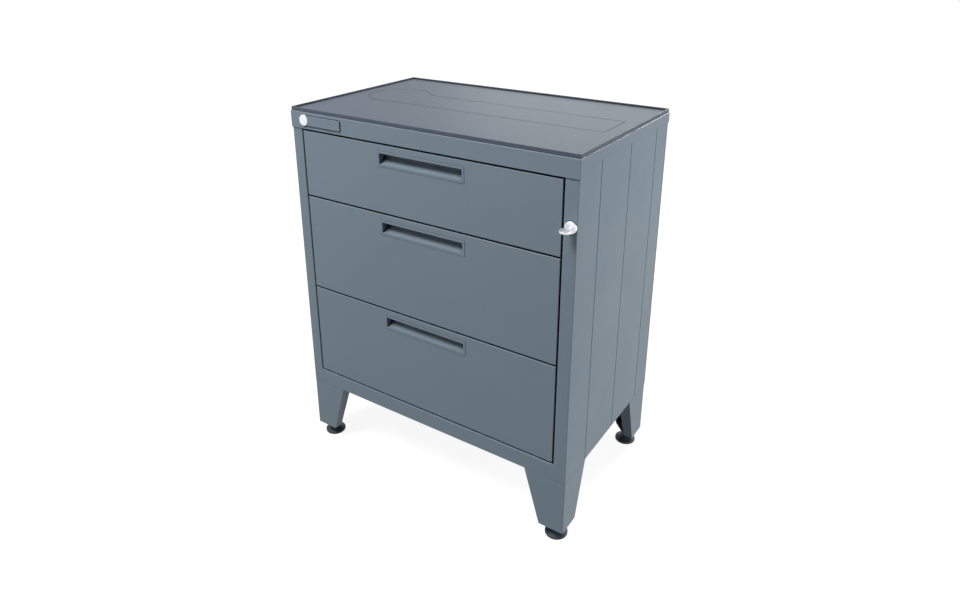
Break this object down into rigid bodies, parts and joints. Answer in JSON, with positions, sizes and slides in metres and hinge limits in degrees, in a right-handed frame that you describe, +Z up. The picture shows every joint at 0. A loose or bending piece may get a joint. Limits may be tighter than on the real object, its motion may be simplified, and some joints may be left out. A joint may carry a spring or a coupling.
{
  "type": "drawer cabinet",
  "caption": "Floor-standing sheet-steel base cabinet with flush drawers on telescopic slides, recessed pulls, a cam lock, a lipped mat top and tapered legs on levelling feet.",
  "frame": {"origin": "on the floor, under the centre of the overall box", "axes": "+Z up, front with the drawers facing -Y, +X to the right seen from the front"},
  "size_m": [0.744, 0.494, 0.8995],
  "materials": {
    "powder_coat": "satin powder coat",
    "mat_rubber": "matt moulded mat",
    "bright_zinc": "bright zinc plate",
    "nickel": "bright nickel plate",
    "black_plastic": "moulded, satin",
    "white_inlay": "satin white"
  },
  "bodies": {
    "cabinet": {"left_side_panel": "powder_coat", "right_side_panel": "powder_coat", "back_panel": "powder_coat", "base_pan": "powder_coat", "top_front_rail": "powder_coat", "left_rear_upright": "powder_coat", "right_rear_upright": "powder_coat", "top_cap": "powder_coat", "top_mat": "mat_rubber", "leg_front_left": "powder_coat", "leg_front_right": "powder_coat", "leg_rear_left": "powder_coat", "leg_rear_right": "powder_coat", "leg_bolts": "bright_zinc", "foot_nuts": "bright_zinc", "badge_plate": "powder_coat", "badge_disc": "white_inlay", "lock_barrel": "nickel", "lock_barrel_nut": "bright_zinc", "lock_bar_guides": "black_plastic", "cap_screws": "bright_zinc", "back_rivets": "bright_zinc", "slide_screws": "bright_zinc", "slide_cabinet_members_1": "bright_zinc", "slide_cabinet_members_2": "bright_zinc", "slide_cabinet_members_3": "bright_zinc"},
    "lock": {"lock_core": "nickel", "lock_key": "nickel", "lock_cam": "bright_zinc", "cam_screw": "bright_zinc"},
    "lock_bar": {"lock_bar": "bright_zinc"},
    "drawer_1": {"drawer_front_1": "powder_coat", "drawer_handle_1": "powder_coat", "drawer_box_1": "powder_coat", "slide_drawer_members_1": "bright_zinc", "drawer_catch_1": "bright_zinc", "drawer_screws_1": "bright_zinc"},
    "slide_middle_1": {"slide_middle_members_1": "bright_zinc"},
    "drawer_2": {"drawer_front_2": "powder_coat", "drawer_handle_2": "powder_coat", "drawer_box_2": "powder_coat", "slide_drawer_members_2": "bright_zinc", "drawer_catch_2": "bright_zinc", "drawer_screws_2": "bright_zinc"},
    "slide_middle_2": {"slide_middle_members_2": "bright_zinc"},
    "drawer_3": {"drawer_front_3": "powder_coat", "drawer_handle_3": "powder_coat", "drawer_box_3": "powder_coat", "slide_drawer_members_3": "bright_zinc", "drawer_catch_3": "bright_zinc", "drawer_screws_3": "bright_zinc"},
    "slide_middle_3": {"slide_middle_members_3": "bright_zinc"},
    "foot_front_left": {"foot_pad_front_left": "black_plastic", "foot_stud_front_left": "bright_zinc"},
    "foot_front_right": {"foot_pad_front_right": "black_plastic", "foot_stud_front_right": "bright_zinc"},
    "foot_rear_left": {"foot_pad_rear_left": "black_plastic", "foot_stud_rear_left": "bright_zinc"},
    "foot_rear_right": {"foot_pad_rear_right": "black_plastic", "foot_stud_rear_right": "bright_zinc"}
  },
  "joints": [
    {"name": "drawer_1_slide", "type": "slide", "parent": "cabinet", "child": "drawer_1", "axis": [0, -1, 0], "range_m": [0, 0.38]},
    {"name": "middle_1_slide", "type": "slide", "parent": "cabinet", "child": "slide_middle_1", "axis": [0, -1, 0], "range_m": [0, 0.19]},
    {"name": "drawer_2_slide", "type": "slide", "parent": "cabinet", "child": "drawer_2", "axis": [0, -1, 0], "range_m": [0, 0.38]},
    {"name": "middle_2_slide", "type": "slide", "parent": "cabinet", "child": "slide_middle_2", "axis": [0, -1, 0], "range_m": [0, 0.19]},
    {"name": "drawer_3_slide", "type": "slide", "parent": "cabinet", "child": "drawer_3", "axis": [0, -1, 0], "range_m": [0, 0.38]},
    {"name": "middle_3_slide", "type": "slide", "parent": "cabinet", "child": "slide_middle_3", "axis": [0, -1, 0], "range_m": [0, 0.19]},
    {"name": "lock_turn", "type": "hinge", "parent": "cabinet", "child": "lock", "pos_m": [0.357, -0.211, 0.756], "axis": [0, -1, 0], "range_deg": [0, 90]},
    {"name": "lock_bar_slide", "type": "slide", "parent": "cabinet", "child": "lock_bar", "axis": [0, 0, -1], "range_m": [0, 0.0099]},
    {"name": "foot_front_left_screw", "type": "slide", "parent": "cabinet", "child": "foot_front_left", "axis": [0, 0, -1], "range_m": [0, 0.015]},
    {"name": "foot_front_right_screw", "type": "slide", "parent": "cabinet", "child": "foot_front_right", "axis": [0, 0, -1], "range_m": [0, 0.015]},
    {"name": "foot_rear_left_screw", "type": "slide", "parent": "cabinet", "child": "foot_rear_left", "axis": [0, 0, -1], "range_m": [0, 0.015]},
    {"name": "foot_rear_right_screw", "type": "slide", "parent": "cabinet", "child": "foot_rear_right", "axis": [0, 0, -1], "range_m": [0, 0.015]}
  ],
  "couplings": [
    {"joint": "middle_1_slide", "follows": "drawer_1_slide", "ratio": 0.5},
    {"joint": "middle_2_slide", "follows": "drawer_2_slide", "ratio": 0.5},
    {"joint": "middle_3_slide", "follows": "drawer_3_slide", "ratio": 0.5},
    {"joint": "lock_turn", "follows": "lock_bar_slide", "rad_per_m": 158.67}
  ]
}
